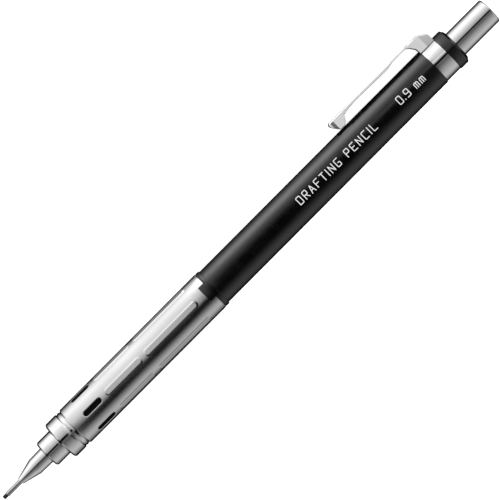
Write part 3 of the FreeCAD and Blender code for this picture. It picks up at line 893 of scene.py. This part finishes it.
# Millimetres: the width of the view, and where its middle is along and across the pencil.
VIEW_WIDTH = 103.1
VIEW_STATION = 71.04
VIEW_LIFT = 0.13
LENS = 300.0
SENSOR = 36.0


def camera_axes():
    """Right, up and back of the camera."""
    back = math.cos(VIEW_TURN) * CLIP_UP - math.sin(VIEW_TURN) * CLIP_SIDE
    across = AXIS.cross(back)
    right = math.cos(LEAN) * AXIS + math.sin(LEAN) * across
    up = math.sin(LEAN) * AXIS - math.cos(LEAN) * across
    return right, up, back


def make_camera():
    """A long lens, square on to the pencil's side."""
    right, up, back = camera_axes()
    data = bpy.data.cameras.new("camera")
    data.lens = LENS
    data.sensor_width = SENSOR
    data.clip_end = 10
    camera = bpy.data.objects.new("camera", data)
    distance = VIEW_WIDTH * MM * LENS / SENSOR
    place = (AXIS * VIEW_STATION - AXIS.cross(back) * VIEW_LIFT) * MM + back * distance
    turn = Matrix((right, up, back)).transposed().to_4x4()
    camera.matrix_world = Matrix.Translation(place) @ turn
    bpy.context.collection.objects.link(camera)
    bpy.context.scene.camera = camera


def plane(name, centre, normal, along, length, width):
    """A flat card, its length along a direction."""
    mesh = bpy.data.meshes.new(name)
    normal = normal.normalized()
    along = (along - normal * along.dot(normal)).normalized()
    across = normal.cross(along)
    corners = [centre + along * length * a / 2 + across * width * b / 2
               for a, b in ((-1, -1), (1, -1), (1, 1), (-1, 1))]
    mesh.from_pydata([tuple(corner) for corner in corners], [], [(0, 1, 2, 3)])
    card = bpy.data.objects.new(name, mesh)
    bpy.context.collection.objects.link(card)
    return card


# The tent hangs round the pencil in four lengths that meet at these stations.
FRONT, GRIP, BARREL, REAR, BACK = -260.0, 17.5, 58.5, 126.8, 400.0
TENT_RADIUS = 40.0
# Lamps behind the tent's cloth: the middle and reach of the soft patch that each makes, its
# brightness, and the first and last station that it lights. A patch is placed by the way a face
# has to point to mirror it: degrees from the line of sight, minus on the clip's side.
LAMPS = {
    "key": (-36, 34, 1.3, FRONT, BACK),
    "far_side": (43, 28, 0.55, FRONT, BACK),
    "nose_fill": (-8, 20, 0.4, FRONT, GRIP),
    "nose_under_fill": (20, 20, 0.2, FRONT, GRIP),
    "grip_fill": (-8, 22, 0.6, GRIP, BARREL),
    "barrel_key": (-38, 16, 1.7, BARREL, REAR),
    "rear_fill": (-8, 20, 0.4, REAR, BACK),
    "rear_under_fill": (20, 20, 0.25, REAR, BACK),
}
# Black flags: the first and last angle that each covers, and its stations.
FLAGS = {
    "nose_flag": (-2, 3, FRONT, GRIP),
    "grip_flag": (8, 20, GRIP, BARREL),
    "rear_flag": (-2, 3, REAR, BACK),
}


def reach_along(station, first, last):
    """How much of a lamp or flag is there at a station: its ends fade over a millimetre."""
    return min(1.0, max(0.0, min(station - first, last - station) + 0.5))


def tent_light(facing, station):
    """Brightness of the cloth that a face turned so far from the line of sight mirrors."""
    light = 0.0
    for middle, reach, brightness, first, last in LAMPS.values():
        offset = min(1.0, abs(facing - middle) / reach)
        patch = math.cos(offset * math.pi / 2) ** 2
        light += brightness * patch * reach_along(station, first, last)
    for low, high, first, last in FLAGS.values():
        if low <= facing <= high:
            light *= 1.0 - reach_along(station, first, last)
    return light


def glowing(name, **settings):
    """A black surface that gives white light."""
    surface = Surface(name, **settings)
    surface.shader.inputs["Base Color"].default_value = (0, 0, 0, 1)
    surface.shader.inputs["Emission Color"].default_value = (1, 1, 1, 1)
    surface.material.cycles.emission_sampling = "NONE"
    return surface


def only_reflected(thing):
    """Hide a light from everything but reflections."""
    thing.visible_camera = False
    thing.visible_diffuse = False
    thing.visible_shadow = False
    thing.visible_transmission = False


def make_tent():
    """A light tent and its flags, seen only in the pencil's reflections."""
    mesh = bpy.data.meshes.new("tent")
    work = bmesh.new()
    rows = []
    lights = []
    seams = [FRONT + 0.5, BACK - 0.5]
    for seam in (GRIP, BARREL, REAR):
        seams += [seam - 0.5, seam + 0.5]
    for station in sorted(seams):
        ring = []
        for facing in range(-90, 91):
            turn = VIEW_TURN + math.radians(2 * facing)
            ring.append(work.verts.new(around(station, TENT_RADIUS, turn)))
            lights.append(tent_light(facing, station))
        rows.append(ring)
    for ring, after in zip(rows, rows[1:]):
        for index in range(len(ring) - 1):
            work.faces.new([ring[index], ring[index + 1], after[index + 1], after[index]])
    work.verts.index_update()
    work.to_mesh(mesh)
    work.free()
    glow = mesh.attributes.new("glow", "FLOAT", "POINT")
    glow.data.foreach_set("value", lights)
    surface = glowing("tent", Specular_IOR_Level=0.0)
    level = surface.add("ShaderNodeAttribute", attribute_name="glow")
    surface.link(level.outputs["Fac"], surface.shader.inputs["Emission Strength"])
    mesh.materials.append(surface.material)
    tent = bpy.data.objects.new("tent", mesh)
    bpy.context.collection.objects.link(tent)
    only_reflected(tent)


def make_clip_card():
    """A bright strip towards the camera that the clip's side faces mirror."""
    back = camera_axes()[2]
    lift = AXIS.cross(back)
    station, distance, drop = 116, 36, 11.0
    length, width = 0.034, 0.0075
    centre = (AXIS * station + back * distance - lift * drop) * MM
    card = plane("clip_card", centre, -back, AXIS, length, width)
    surface = glowing("clip_card", Emission_Strength=0.75)
    card.data.materials.append(surface.material)
    only_reflected(card)


def make_studio():
    """A white floor and world for the soft light, and the tent for the reflections."""
    low = cad_box[0]
    floor = plane("floor", Vector((0.07, 0, low[2] - 0.00001)), Vector((0, 0, 1)), AXIS, 6, 6)
    paper = Surface("floor", Roughness=1.0, Specular_IOR_Level=0.0, Emission_Strength=0.85)
    paper.shader.inputs["Base Color"].default_value = (0.9, 0.9, 0.9, 1)
    paper.shader.inputs["Emission Color"].default_value = (1, 1, 1, 1)
    floor.data.materials.append(paper.material)
    floor.visible_glossy = False
    world = bpy.data.worlds.new("studio")
    bpy.context.scene.world = world
    world.use_nodes = True
    world.node_tree.nodes["Background"].inputs["Color"].default_value = (1, 1, 1, 1)
    world.node_tree.nodes["Background"].inputs["Strength"].default_value = 1.0
    world.cycles_visibility.glossy = False
    make_tent()
    make_clip_card()
    bpy.context.scene.view_settings.view_transform = "Standard"


main()
